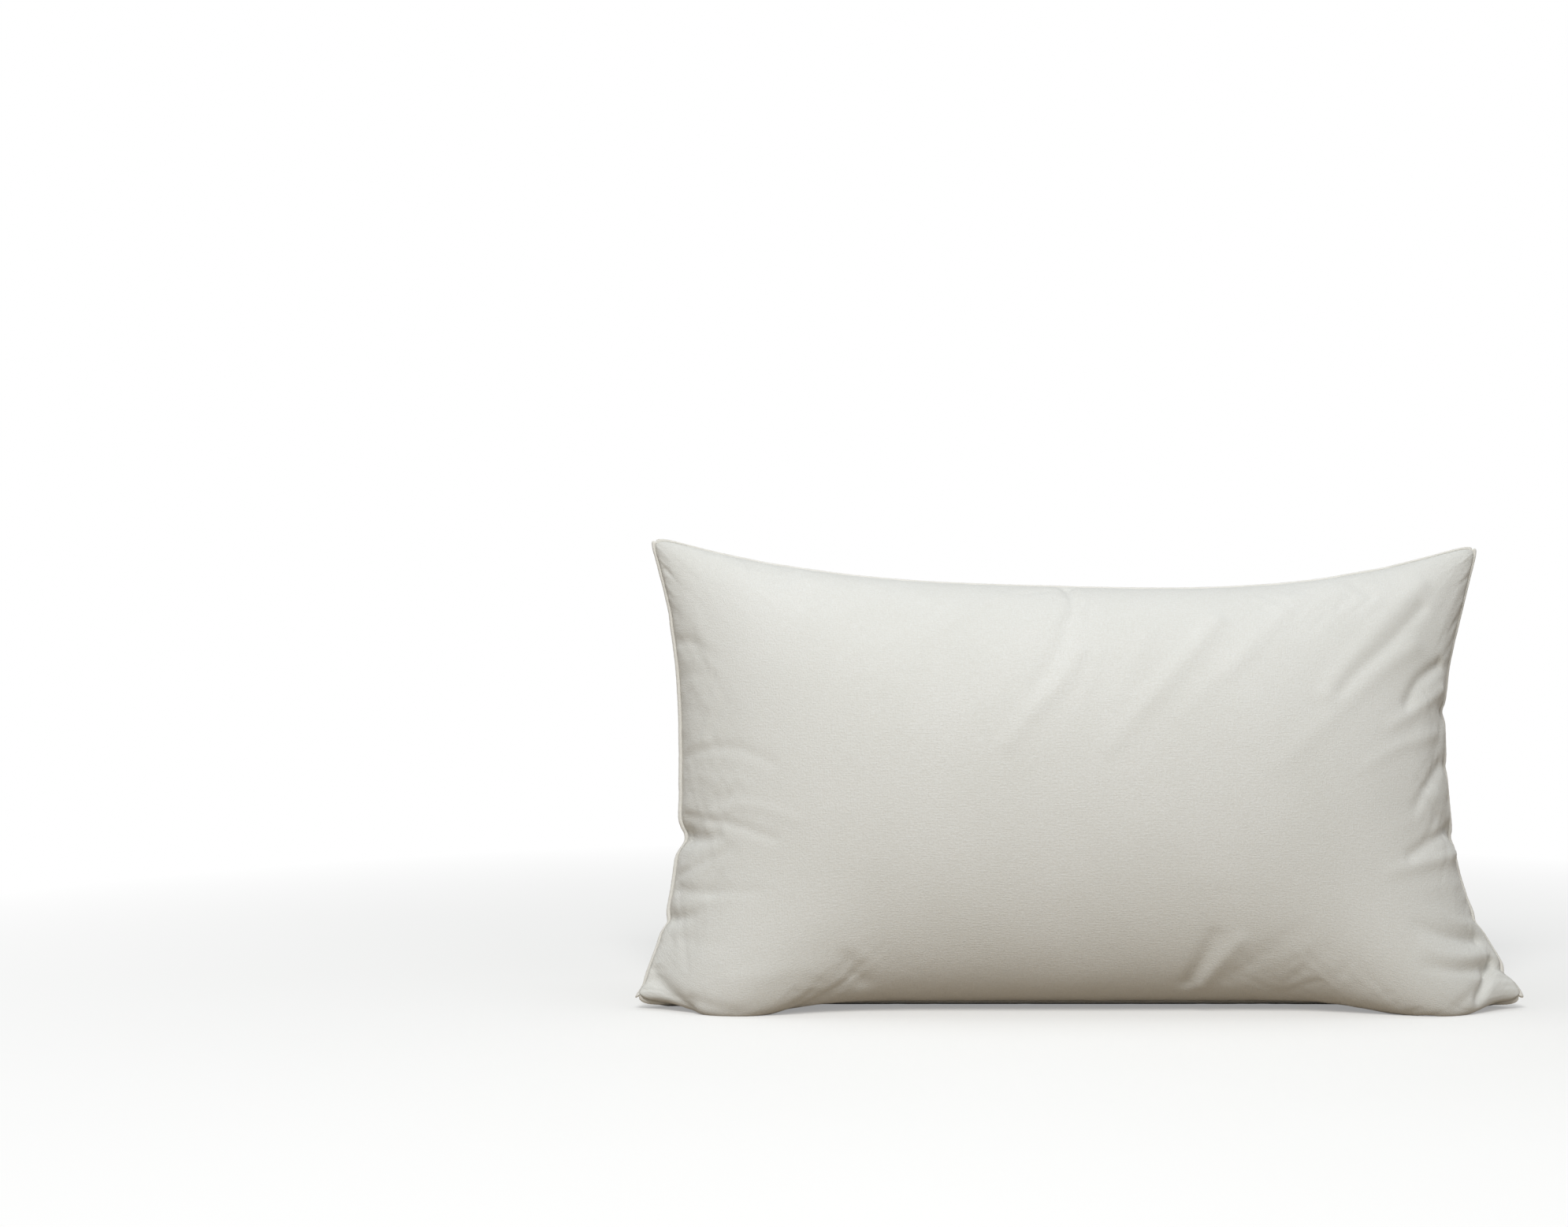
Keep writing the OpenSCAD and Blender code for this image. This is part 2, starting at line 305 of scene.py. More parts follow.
def inflate_flat_bag(cells, frames=21, pressure=6.0):
    """Places of the front and back cloth of a flat bag after filling: across, out and up."""
    s, t = cloth_grid(cells)
    thin = 0.012 * ((1 - s * s) * (1 - t * t)).clip(0) ** 0.5
    ripple = 0.0009 * (
        np.sin(9.1 * s + 4.3 * t + 0.6) * np.sin(13.7 * t - 2.1 * s)
        + 0.8 * np.sin(21.3 * t + 1.7 + 3.1 * s)
        + 0.7 * np.sin(24.9 * s - 5.9 * t + 0.4)
    )
    row = cells[1] + 1
    size = (cells[0] + 1) * row
    rim = rim_numbers(cells)
    front = np.stack([s * FLAT[0] / 2, -thin * (1 + 60 * ripple), t * FLAT[1] / 2], -1)
    back = np.stack([s * FLAT[0] / 2, thin * (1 - 60 * ripple), t * FLAT[1] / 2], -1)
    number = np.arange(size)
    inner = np.setdiff1d(number, rim)
    number_back = number.copy()
    number_back[inner] = size + np.arange(len(inner))
    points = np.concatenate([front.reshape(-1, 3), back.reshape(-1, 3)[inner]])
    quads = np.concatenate([grid_quads(cells), number_back[grid_quads(cells, over=True)]])
    bag = mesh_piece("bag", points, quads)
    cloth = bag.modifiers.new("cloth", "CLOTH")
    c = cloth.settings
    c.quality, c.mass, c.air_damping = 5, 0.25, 1.0
    c.tension_stiffness = c.compression_stiffness = 30
    c.shear_stiffness, c.bending_stiffness = 12, 0.2
    c.tension_damping = c.compression_damping = c.shear_damping = 8
    c.bending_damping = 0.5
    c.use_pressure, c.uniform_pressure_force = True, pressure
    c.effector_weights.gravity = 0
    cloth.collision_settings.use_collision = False
    scene = bpy.context.scene
    scene.frame_start, scene.frame_end = 1, frames
    cloth.point_cache.frame_start, cloth.point_cache.frame_end = 1, frames + 1
    for f in range(1, frames + 1):
        scene.frame_set(f)
    done = bag.evaluated_get(bpy.context.evaluated_depsgraph_get()).data
    p = np.empty(len(points) * 3)
    done.vertices.foreach_get("co", p)
    p = p.reshape(-1, 3)
    scene.frame_set(1)
    bpy.data.objects.remove(bag)
    shape = (cells[0] + 1, cells[1] + 1, 3)
    return {FRONT: p[number].reshape(shape), BACK: p[number_back].reshape(shape)}


def creases_of(bag):
    """What is left of each panel once the shape that all its quarters share is taken off."""
    quarters = []
    for side in (FRONT, BACK):
        p = bag[side] * (1, -side, 1)
        for fx in (1, -1):
            for fz in (1, -1):
                quarters.append((p[::fx, ::fz]) * (fx, 1, fz))
    mean = np.mean(quarters, 0)
    found = {}
    for side in (FRONT, BACK):
        d = bag[side] - mean * (1, -side, 1)
        size = np.linalg.norm(d, axis=2, keepdims=True)
        found[side] = d / (1 + size / 0.012)
    return found


# ---- Folds placed one by one ----

# Each fold is a line of points (x, z) on the front face in metres, its half width,
# its height (less than 0 for a crease), and its share of that height at each end
FRONT_FOLDS = [
    # The gathered spot in the middle of the top edge, and what runs down from it
    ([(-0.002, 0.368), (0.001, 0.356), (-0.002, 0.344)], 0.005, -0.0040, (1.0, 0.4)),
    ([(0.016, 0.354), (0.012, 0.342), (0.006, 0.328)], 0.004, -0.0012, (0.8, 0.3)),
    ([(-0.006, 0.340), (-0.020, 0.310), (-0.044, 0.278)], 0.007, -0.0020, (0.9, 0.2)),
    ([(-0.001, 0.310), (-0.022, 0.281), (-0.046, 0.259), (-0.066, 0.234)], 0.008, 0.0025, (0.6, 0.3)),
    ([(0.018, 0.310), (0.005, 0.283), (-0.003, 0.257)], 0.006, 0.0007, (0.7, 0.2)),
    ([(0.059, 0.326), (0.044, 0.297), (0.028, 0.270)], 0.007, 0.0009, (0.7, 0.2)),
    ([(-0.018, 0.364), (-0.048, 0.361), (-0.078, 0.350)], 0.004, -0.0011, (0.9, 0.3)),
    ([(-0.060, 0.360), (-0.110, 0.337), (-0.150, 0.316)], 0.006, 0.0013, (0.8, 0.2)),
    ([(-0.105, 0.350), (-0.150, 0.327), (-0.190, 0.312)], 0.006, 0.0008, (0.7, 0.2)),
    # Long soft folds across the upper right
    ([(0.124, 0.338), (0.087, 0.300), (0.052, 0.265), (0.020, 0.230)], 0.009, 0.0025, (0.8, 0.2)),
    ([(0.148, 0.310), (0.112, 0.284), (0.084, 0.256)], 0.008, 0.0007, (0.7, 0.3)),
    ([(0.200, 0.360), (0.163, 0.327), (0.128, 0.294)], 0.009, 0.0018, (0.7, 0.3)),
    ([(0.316, 0.370), (0.264, 0.326), (0.232, 0.296), (0.214, 0.274)], 0.009, 0.0028, (0.6, 0.4)),
    ([(0.316, 0.350), (0.277, 0.317), (0.248, 0.296), (0.226, 0.277)], 0.006, -0.0026, (0.6, 0.3)),
    ([(0.302, 0.315), (0.262, 0.291), (0.210, 0.250), (0.160, 0.210)], 0.009, 0.0021, (0.8, 0.1)),
    # Puckers down the right-hand side
    ([(0.330, 0.298), (0.306, 0.285), (0.290, 0.265)], 0.006, -0.0044, (1.0, 0.5)),
    ([(0.330, 0.276), (0.300, 0.260), (0.272, 0.247)], 0.006, 0.0026, (1.0, 0.3)),
    ([(0.320, 0.238), (0.276, 0.228), (0.240, 0.210)], 0.006, 0.0016, (1.0, 0.2)),
    ([(0.324, 0.210), (0.305, 0.193), (0.291, 0.176)], 0.006, -0.0038, (1.0, 0.3)),
    ([(0.318, 0.186), (0.292, 0.168), (0.268, 0.158)], 0.007, 0.0009, (0.9, 0.2)),
    ([(0.334, 0.155), (0.305, 0.147), (0.282, 0.136)], 0.005, -0.0042, (1.0, 0.4)),
    ([(0.332, 0.133), (0.298, 0.129), (0.262, 0.123)], 0.006, 0.0032, (1.0, 0.2)),
    ([(0.336, 0.108), (0.300, 0.108), (0.266, 0.104)], 0.007, 0.0008, (0.9, 0.1)),
    ([(0.344, 0.074), (0.324, 0.078), (0.308, 0.086)], 0.004, 0.0014, (1.0, 0.3)),
    ([(0.346, 0.060), (0.314, 0.067), (0.284, 0.077)], 0.006, -0.0042, (1.0, 0.2)),
    ([(0.350, 0.048), (0.318, 0.050), (0.290, 0.058)], 0.006, 0.0032, (1.0, 0.2)),
    ([(0.348, 0.037), (0.320, 0.039), (0.290, 0.044)], 0.005, -0.0030, (1.0, 0.2)),
    # Arched wrinkles and creases down the left-hand side
    ([(-0.356, 0.318), (-0.342, 0.319), (-0.322, 0.307)], 0.005, -0.0020, (1.0, 0.2)),
    ([(-0.352, 0.286), (-0.332, 0.290), (-0.306, 0.282)], 0.005, -0.0007, (1.0, 0.1)),
    ([(-0.350, 0.256), (-0.330, 0.256), (-0.308, 0.248)], 0.005, -0.0007, (1.0, 0.1)),
    ([(-0.350, 0.214), (-0.333, 0.223), (-0.302, 0.227), (-0.268, 0.215)], 0.005, -0.0019, (0.9, 0.3)),
    ([(-0.350, 0.199), (-0.320, 0.200), (-0.290, 0.196)], 0.006, 0.0008, (0.9, 0.2)),
    ([(-0.322, 0.171), (-0.287, 0.178), (-0.247, 0.167)], 0.005, 0.0013, (0.6, 0.3)),
    ([(-0.352, 0.165), (-0.321, 0.164), (-0.297, 0.160), (-0.266, 0.151)], 0.004, -0.0025, (1.0, 0.3)),
    ([(-0.352, 0.144), (-0.339, 0.146), (-0.318, 0.149)], 0.006, -0.0062, (1.0, 0.3)),
    ([(-0.352, 0.113), (-0.332, 0.126), (-0.302, 0.140)], 0.005, -0.0018, (1.0, 0.2)),
    ([(-0.353, 0.102), (-0.324, 0.103), (-0.280, 0.107)], 0.005, -0.0022, (1.0, 0.2)),
    ([(-0.354, 0.087), (-0.330, 0.093), (-0.300, 0.103)], 0.006, 0.0010, (0.9, 0.2)),
    ([(-0.362, 0.073), (-0.352, 0.077), (-0.338, 0.082)], 0.005, -0.0036, (1.0, 0.3)),
    ([(-0.357, 0.063), (-0.334, 0.061), (-0.302, 0.062)], 0.006, -0.0008, (0.9, 0.2)),
    # Soft folds over the lower edge
    ([(-0.304, 0.033), (-0.270, 0.037), (-0.240, 0.043)], 0.008, 0.0010, (0.5, 0.5)),
    ([(-0.206, 0.052), (-0.192, 0.030)], 0.008, -0.0024, (0.5, 0.9)),
    ([(0.108, 0.070), (0.098, 0.046), (0.090, 0.028)], 0.007, -0.0036, (0.4, 0.9)),
    ([(0.130, 0.066), (0.110, 0.042), (0.100, 0.026)], 0.007, 0.0030, (0.4, 0.8)),
    ([(0.178, 0.074), (0.144, 0.050), (0.124, 0.032)], 0.009, -0.0012, (0.4, 0.8)),
    # Where each lower ear is cut off from the body, and the tucks beside it
    ([(-0.376, 0.034), (-0.360, 0.020), (-0.340, 0.006)], 0.007, -0.0045, (0.8, 0.8)),
    ([(-0.338, 0.014), (-0.300, 0.006)], 0.005, -0.0016, (1.0, 0.4)),
    ([(0.358, 0.040), (0.350, 0.030), (0.338, 0.014)], 0.005, -0.0060, (1.0, 0.7)),
    ([(0.336, 0.022), (0.316, 0.010)], 0.005, -0.0016, (1.0, 0.5)),
]

# Where the seam is drawn in: s and t of the place, how far, its half width along the
# seam, and how far its creases reach into each panel, in metres
PINCHES = [
    ((-1, -0.18), 0.0060, 0.010, 0.034),
    ((-1, -0.49), 0.0030, 0.006, 0.022),
    ((-1, -0.82), 0.0025, 0.008, 0.026),
    ((1, 0.21), 0.0035, 0.008, 0.030),
    ((1, 0.05), 0.0020, 0.007, 0.026),
    ((1, -0.18), 0.0030, 0.007, 0.028),
    ((1, -0.49), 0.0020, 0.006, 0.024),
    ((1, -0.74), 0.0045, 0.006, 0.024),
]


def distance_to_line(p, line):
    """Distance from points p to a line of points, and the share of the way along it."""
    best = np.full(p.shape[:-1], 1e9)
    share = np.zeros(p.shape[:-1])
    lengths = np.linalg.norm(np.diff(line, axis=0), axis=1)
    before = np.concatenate([[0], np.cumsum(lengths)])
    for k, length in enumerate(lengths):
        way = (line[k + 1] - line[k]) / max(length, 1e-9)
        a = ((p - line[k]) @ way).clip(0, length)
        d = np.linalg.norm(p - line[k] - a[..., None] * way, axis=-1)
        nearer = d < best
        best = np.where(nearer, d, best)
        share = np.where(nearer, (before[k] + a) / before[-1], share)
    return best, share


def lay_on_face(p, n, line, steps=12):
    """A smooth line through (x, z) points, laid on the part of the face that looks forward."""
    q = p[n[..., 1] < -0.05]
    way = []
    for x, z in resample(np.array(line, float), (steps,)):
        gap = (q[:, 0] - x) ** 2 + (q[:, 2] - z) ** 2
        near = np.argpartition(gap, 5)[:5]
        share = 1 / (gap[near] + 1e-8)
        way.append((x, (q[near, 1] * share).sum() / share.sum(), z))
    return np.array(way)


def fold_field(p, side, folds):
    """The listed folds, as moves out of and into the face."""
    n = grid_normals(p, side)
    d = np.zeros(p.shape[:2])
    for line, width, height, ends in folds:
        way = lay_on_face(p, n, line)
        low, high = way.min(0) - 3 * width, way.max(0) + 3 * width
        close = ((p > low) & (p < high)).all(-1)
        near, share = distance_to_line(p[close], way)
        taper = ends[0] * (1 - share) + ends[1] * share
        d[close] += height * taper * np.exp(-((near / width) ** 2))
    return d[..., None] * n


def pinch_field(p, side):
    """The seam drawn in at each pinch, with a crease that runs from it over the panel."""
    n = grid_normals(p, side)
    up = turn_back(0.0, 1.0, 0.0)
    total = np.zeros(p.shape)
    for (ps, pt), depth, width, reach in PINCHES:
        gap = p - seam_point(ease(np.float64(ps)), ease(np.float64(pt)), 0, 0)
        along = gap @ up
        away = np.linalg.norm(gap, axis=-1)
        spread = width * (0.6 + away / reach)
        line = np.exp(-((along / spread) ** 2))
        fade = np.exp(-((away / reach) ** 2))
        total += (-ps * depth * line * np.exp(-away / (0.6 * reach)))[..., None] * (1, 0, 0)
        edge = 1 - np.exp(-((away / 0.006) ** 2))
        swell = np.exp(-(((np.abs(along) - 2.2 * spread) / spread) ** 2))
        total += ((0.35 * swell - 0.9 * line) * depth * fade * edge)[..., None] * n
    return total


def gather_field(p, side, s, t):
    """Short wrinkles that run in from the seam, mostly from the two short sides."""
    n = grid_normals(p, side)
    x, y = from_edges(s, t)
    w, z = s * FLAT[0] / 2, t * FLAT[1] / 2
    draw = np.random.default_rng(11 if side == FRONT else 12)
    total = np.zeros(p.shape[:2])
    for end in (-1, 1):
        for at in np.linspace(-0.215, 0.225, 34) + draw.uniform(-0.006, 0.006, 34):
            reach, width = draw.uniform(0.016, 0.050), draw.uniform(0.0032, 0.0050)
            slope = 0.9 * at / 0.25 + draw.uniform(-0.35, 0.35)
            height = draw.choice((-1, 1)) * draw.uniform(0.0003, 0.0010)
            off = np.abs(z - at + slope * x - 4 * slope * x * x)
            total += (end * s > 0) * height * np.exp(-((off / width) ** 2) - (x / reach) ** 2)
    for end in (-1, 1):
        for at in np.linspace(-0.36, 0.36, 30) + draw.uniform(-0.010, 0.010, 30):
            reach, width = draw.uniform(0.012, 0.034), draw.uniform(0.0034, 0.0052)
            slope = draw.uniform(-0.6, 0.6)
            height = draw.choice((-1, 1)) * draw.uniform(0.0002, 0.0005)
            off = np.abs(w - at + slope * y)
            total += (end * t > 0) * height * np.exp(-((off / width) ** 2) - (y / reach) ** 2)
    edge = 1 - np.exp(-(np.minimum(x, y) / 0.004))
    return (total * edge)[..., None] * n


# How much lower than the rule the left of the top edge is, how round the corners are,
# how much further forward the lower ears are, and how much further in the right-hand one
TOP_DIP, CORNER_ROUND, EAR_ON, RIGHT_EAR_IN = 0.003, 0.004, 0.006, 0.004


def settled_shift(s, t):
    """Slow differences from the rule that both panels and the seam share."""
    u, v = ease(s), ease(t)
    dip = TOP_DIP * np.exp(-(((u + 0.45) / 0.45) ** 2)) * ((1 + v) / 2) ** 3
    tip = CORNER_ROUND * np.abs(s * t) ** 14
    ear = RIGHT_EAR_IN * np.maximum(s, 0) ** 6 * np.maximum(-t, 0) ** 6
    p = turn_back(-np.sign(u) * tip - ear, -dip - np.sign(v) * tip, 0.0)
    p[..., 1] -= EAR_ON * np.abs(u) ** 5 * np.exp(-(((1 + v) / 0.35) ** 2))
    return p


def calm(s, t):
    """How much of the blown-up bag's own creases stays: little of it near the seams."""
    x, y = from_edges(s, t)
    share = (1 - 0.85 * np.exp(-((y / 0.040) ** 2))) * (1 - 0.75 * np.exp(-((x / 0.055) ** 2)))
    return share[..., None]


# Share of the blown-up bag's creases that each panel keeps
CREASE_KEPT = {FRONT: 0.45, BACK: 0.8}
# Size of the stiff turned corners
TAB = 0.034
# How far round a label's root the back cloth is held flat, and how far in
LABEL_FLAT, LABEL_ROOM = 0.055, 0.0012


def held_flat(p, d):
    """The back cloth's moves d at p, with no swelling where the labels turn."""
    n = grid_normals(p, BACK)
    for place in (CARE_PLACE, SIZE_PLACE):
        away = np.linalg.norm(p - seam_point(1.0, place, 0, 0), axis=-1)
        near = np.exp(-((away / LABEL_FLAT) ** 4))
        out = np.maximum((d * n).sum(axis=-1) + LABEL_ROOM, 0)
        d = d - (near * out)[..., None] * n
    return d


def panel_shifts():
    """What each panel's cloth does besides the rule, as moves in the row frame."""
    s, t = cloth_grid(CELLS)
    shared = settled_shift(s, t)
    found = creases_of(inflate_flat_bag(BAG_CELLS))
    crease = {
        side: turn_back(*np.moveaxis(resample(found[side], CELLS)[..., [0, 2, 1]], -1, 0))
        for side in (FRONT, BACK)
    }
    shifts = {}
    for side in (FRONT, BACK):
        p = cushion_point(ease(s), ease(t), side, 0, 0, SHOULDER) + shared
        keep = CREASE_KEPT[side] * calm(s, t)
        d = keep * crease[side] + pinch_field(p, side) + gather_field(p, side, s, t)
        if side == FRONT:
            off_seam = 1 - np.maximum(np.abs(s), np.abs(t)) ** 60
            d = d + fold_field(p + d, side, FRONT_FOLDS) * off_seam[..., None]
        else:
            d = held_flat(p, d)
        # The cloth is stiff and smooth where the corners are turned
        x, y = from_edges(s, t)
        tab = 1 - np.exp(-((x / TAB) ** 2) - (y / TAB) ** 2)
        shifts[side] = shared + d * tab[..., None]
    # The seam is one line, so both panels move with it
    for edge in (np.s_[0, :], np.s_[-1, :], np.s_[:, 0], np.s_[:, -1]):
        both = (shifts[FRONT][edge] + shifts[BACK][edge]) / 2
        shifts[FRONT][edge] = shifts[BACK][edge] = both
    return shifts


shift = panel_shifts()


def on_ground(p, least):
    """The points p, none of them lower than least."""
    p[..., 2] = np.maximum(p[..., 2], least)
    return p


def skin(cells, side, rim, inset, lift, share=1.0):
    """A skin of the pillow with the cloth's own moves added."""
    s, t = cloth_grid(cells)
    p = cushion_point(ease(s), ease(t), side, rim, inset, lift)
    return on_ground(p + share * sample(shift[side], s, t), inset)


def along_seam(s, t, out, w):
    """Points beside the seam, moved as the seam is."""
    return seam_point(ease(s), ease(t), out, w) + sample(shift[FRONT], s, t)


# ---- Materials ----

class Nodes:
    """A short way to lay out a material's nodes."""

    def __init__(self, name):
        self.material = bpy.data.materials.new(name)
        self.material.use_nodes = True
        self.tree = self.material.node_tree
        self.shader = self.tree.nodes["Principled BSDF"]

    def add(self, kind, props=(), **sockets):
        node = self.tree.nodes.new("ShaderNode" + kind)
        for key, value in dict(props).items():
            setattr(node, key, value)
        for key, value in sockets.items():
            self.put(node.inputs[key.replace("_", " ")], value)
        return node

    def put(self, socket, value):
        if isinstance(value, bpy.types.NodeSocket):
            self.tree.links.new(value, socket)
        else:
            socket.default_value = value

    def math(self, operation, a, b=0.0, c=0.0):
        node = self.add("Math", {"operation": operation})
        for socket, value in zip(node.inputs, (a, b, c)):
            self.put(socket, value)
        return node.outputs[0]

    def scaled(self, vector, x, y, z=1.0):
        node = self.add("VectorMath", {"operation": "MULTIPLY"})
        self.put(node.inputs[0], vector)
        self.put(node.inputs[1], (x, y, z))
        return node.outputs[0]

    def noise(self, vector, scale, detail=2.0, rough=0.5, distort=0.0):
        return self.add(
            "TexNoise", Vector=vector, Scale=scale, Detail=detail, Roughness=rough,
            Distortion=distort,
        ).outputs[0]

    def wave(self, vector, pitch, direction="X", distort=0.0):
        """Threads that lie pitch millimetres apart."""
        return self.add(
            "TexWave", {"wave_type": "BANDS", "bands_direction": direction},
            Vector=vector, Scale=2 * math.pi / (20 * pitch), Distortion=distort, Detail=1.0,
        ).outputs["Fac"]

    def ramp(self, factor, low, high, to_low=0.0, to_high=1.0):
        return self.add(
            "MapRange", Value=factor, From_Min=low, From_Max=high, To_Min=to_low, To_Max=to_high
        ).outputs["Result"]

    def blend(self, factor, a, b):
        node = self.add("Mix", {"data_type": "RGBA"})
        self.put(node.inputs[0], factor)
        self.put(node.inputs[6], a)
        self.put(node.inputs[7], b)
        return node.outputs[2]

    def mixed(self, factor, a, b):
        node = self.add("MixShader")
        for socket, value in zip(node.inputs, (factor, a, b)):
            self.put(socket, value)
        return node.outputs[0]

    def bump(self, height, distance, normal=None, strength=1.0):
        node = self.add("Bump", Height=height, Distance=distance, Strength=strength)
        if normal is not None:
            self.put(node.inputs["Normal"], normal)
        return node.outputs[0]

    def finish(self, colour, roughness, normal, **constants):
        self.put(self.shader.inputs["Base Color"], colour)
        self.put(self.shader.inputs["Roughness"], roughness)
        self.put(self.shader.inputs["Normal"], normal)
        for key, value in constants.items():
            self.shader.inputs[key.replace("_", " ")].default_value = value
        return self.material


def rgb(r, g, b):
    """A colour given as on a screen, 0 to 255, as the shader wants it."""
    line = [c / 255 for c in (r, g, b)]
    return (*[c / 12.92 if c <= 0.04045 else ((c + 0.055) / 1.055) ** 2.4 for c in line], 1)


def sateen(name, light, dark, shade_and_seam_tone, crumple=0.0007):
    """Down-proof sateen: fine weft threads that float over the warp, and a soft sheen."""
    m = Nodes(name)
    cloth = m.add("UVMap", {"uv_map": "cloth"}).outputs[0]
    space = m.add("TexCoord").outputs["Object"]
    near = m.add("Attribute", {"attribute_name": "seam"}).outputs["Fac"]
    wander = m.noise(m.scaled(cloth, 0.12, 0.12), 1.0, 2.0)
    weft = m.noise(m.scaled(cloth, 0.10, 1.30), 1.0, 2.0, 0.55, 0.3)
    warp = m.noise(m.scaled(cloth, 1.10, 0.12), 1.0, 2.0, 0.55, 0.3)
    grain = m.noise(m.scaled(cloth, 0.55, 0.62), 1.0, 2.0, 0.6)
    threads = m.math("MULTIPLY_ADD", weft, 0.5, m.math("MULTIPLY", warp, 0.5))
    weave = m.math("MULTIPLY_ADD", grain, 0.9, threads)
    creased = m.noise(space, 55.0, 5.0, 0.55, 0.6)
    fine = m.noise(space, 190.0, 3.0, 0.5)
    drawn = m.noise(m.scaled(cloth, 0.030, 0.17), 1.0, 3.0, 0.5, 0.4)
    near_share = m.ramp(near, 0.05, 0.9, 0.10, 1.0)
    both = m.math("ADD", creased, m.math("MULTIPLY_ADD", fine, 0.25, m.math("MULTIPLY", drawn, 0.9)))
    normal = m.bump(m.math("MULTIPLY", both, near_share), crumple, strength=0.9)
    normal = m.bump(weave, 0.00045, normal, 0.9)
    patch = m.noise(space, 9.0, 3.0, 0.55)
    tone = m.blend(m.ramp(patch, 0.3, 0.7), light, dark)
    # Painted shade: darker where the weave is low, in its hollows
    tone = m.blend(m.ramp(weave, 0.80, 1.12, 0.35, 0.0), tone, shade_and_seam_tone)
    # Darker close to the short seams and on the hems
    tone = m.blend(m.ramp(near, 0.80, 1.0, 0.0, 0.25), tone, shade_and_seam_tone)
    rough = m.math("ADD", m.ramp(wander, 0.3, 0.7, 0.52, 0.62), m.math("MULTIPLY", near, 0.08))
    return m.finish(
        tone, rough, normal, Sheen_Weight=0.22, Sheen_Roughness=0.45,
        Sheen_Tint=(1.0, 0.99, 0.97, 1.0), Specular_IOR_Level=0.35,
    )


def fibre(name, light, dark, scale, distance, rough=0.9, sheen=0.3, stretch=(1, 1, 1)):
    """Loose filling: tufts, with fine fibres over them."""
    m = Nodes(name)
    space = m.scaled(m.add("TexCoord").outputs["Object"], *stretch)
    tuft = m.add(
        "TexVoronoi", {"feature": "SMOOTH_F1"}, Vector=space, Scale=scale, Smoothness=0.7
    ).outputs["Distance"]
    wisps = m.noise(space, scale * 6, 5.0, 0.7, 1.5)
    normal = m.bump(tuft, distance)
    normal = m.bump(wisps, distance * 0.25, normal)
    tone = m.blend(m.ramp(wisps, 0.35, 0.75), light, dark)
    tone = m.blend(m.ramp(tuft, 0.1, 0.8, 0.0, 0.4), tone, dark)
    return m.finish(
        tone, m.ramp(wisps, 0.2, 0.8, rough - 0.1, rough), normal,
        Sheen_Weight=sheen, Sheen_Roughness=0.6,
    )


def plain_cloth(name, light, dark, pitch, distance, rough=0.8, sheen=0.2):
    """Plain weave: warp and weft threads over and under each other."""
    m = Nodes(name)
    cloth = m.add("UVMap", {"uv_map": "cloth"}).outputs[0]
    weft, warp = m.wave(cloth, pitch, "Y", 0.5), m.wave(cloth, pitch, "X", 0.5)
    weave = m.math("MAXIMUM", weft, warp)
    slub = m.noise(m.scaled(cloth, 0.08, 1.6), 1.0, 3.0, 0.6)
    fold = m.noise(m.scaled(cloth, 0.06, 0.06), 1.0, 4.0, 0.6)
    normal = m.bump(fold, distance * 6)
    normal = m.bump(m.math("ADD", weave, slub), distance, normal)
    tone = m.blend(m.ramp(slub, 0.3, 0.75), light, dark)
    # Painted shade: darker in the gaps between the threads, lighter on their crowns
    tone = m.blend(m.math("MULTIPLY", weave, 0.12), dark, tone)
    return m.finish(
        tone, m.ramp(slub, 0.2, 0.8, rough - 0.12, rough), normal,
        Sheen_Weight=sheen, Sheen_Roughness=0.5,
    )


def twisted(name, light, dark, pitch, distance, rough=0.7):
    """Thread or cord: plies that wind round it."""
    m = Nodes(name)
    cloth = m.add("UVMap", {"uv_map": "cloth"}).outputs[0]
    ply = m.wave(cloth, pitch, "DIAGONAL", 0.3)
    fluff = m.noise(m.scaled(cloth, 1.5, 4.0), 1.0, 4.0, 0.7)
    normal = m.bump(ply, distance)
    normal = m.bump(fluff, distance * 0.4, normal)
    # Painted shade: darker in the grooves between the plies
    tone = m.blend(ply, dark, light)
    return m.finish(
        tone, m.ramp(fluff, 0.2, 0.8, rough - 0.1, rough), normal,
        Sheen_Weight=0.2, Sheen_Roughness=0.5,
    )


# The ticking's light and dark tones, and a darker tone: painted shade in the weave's hollows, and
# darker close to the short seams
TICKING_TONES = rgb(235, 236, 232), rgb(230, 231, 226), rgb(214, 211, 201)
FINISHES = {
    "ticking_front": sateen("ticking_front", *TICKING_TONES),
    "ticking_back": sateen("ticking_back", *TICKING_TONES),
    "piping_strip": sateen(
        "piping_strip", rgb(238, 237, 231), rgb(230, 228, 220), rgb(226, 223, 214), 0.0002
    ),
    "filler_cord": twisted("filler_cord", rgb(238, 236, 228), rgb(205, 200, 188), 2.2, 0.0003, 0.85),
    "thread": twisted("thread", rgb(240, 239, 234), rgb(208, 205, 196), 0.45, 0.00006, 0.6),
    "down": fibre("down", rgb(243, 241, 235), rgb(218, 213, 202), 60.0, 0.0035),
    "bag_cloth": plain_cloth("bag_cloth", rgb(232, 229, 219), rgb(214, 209, 196), 0.9, 0.00012, 0.85),
    "feather": fibre(
        "feather", rgb(238, 234, 224), rgb(196, 186, 168), 34.0, 0.0045, 0.8, 0.2, (1, 1, 2.2)
    ),
    "label_tape": plain_cloth(
        "label_tape", rgb(246, 246, 243), rgb(234, 234, 229), 0.35, 0.00005, 0.45, 0.35
    ),
}


def finish_piece(ob, slot, body, *nodes):
    ob.data.materials.append(FINISHES[slot])
    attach(ob, body)
    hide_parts(*nodes)
    return ob


# ---- The two panels of ticking ----

def near_seam(s, t):
    """1 on the seam, falling to 0 within a few centimetres, and slower at the short sides."""
    x, y = from_edges(s, t)
    return np.maximum(np.exp(-x / 0.045), 0.7 * np.exp(-y / 0.030))


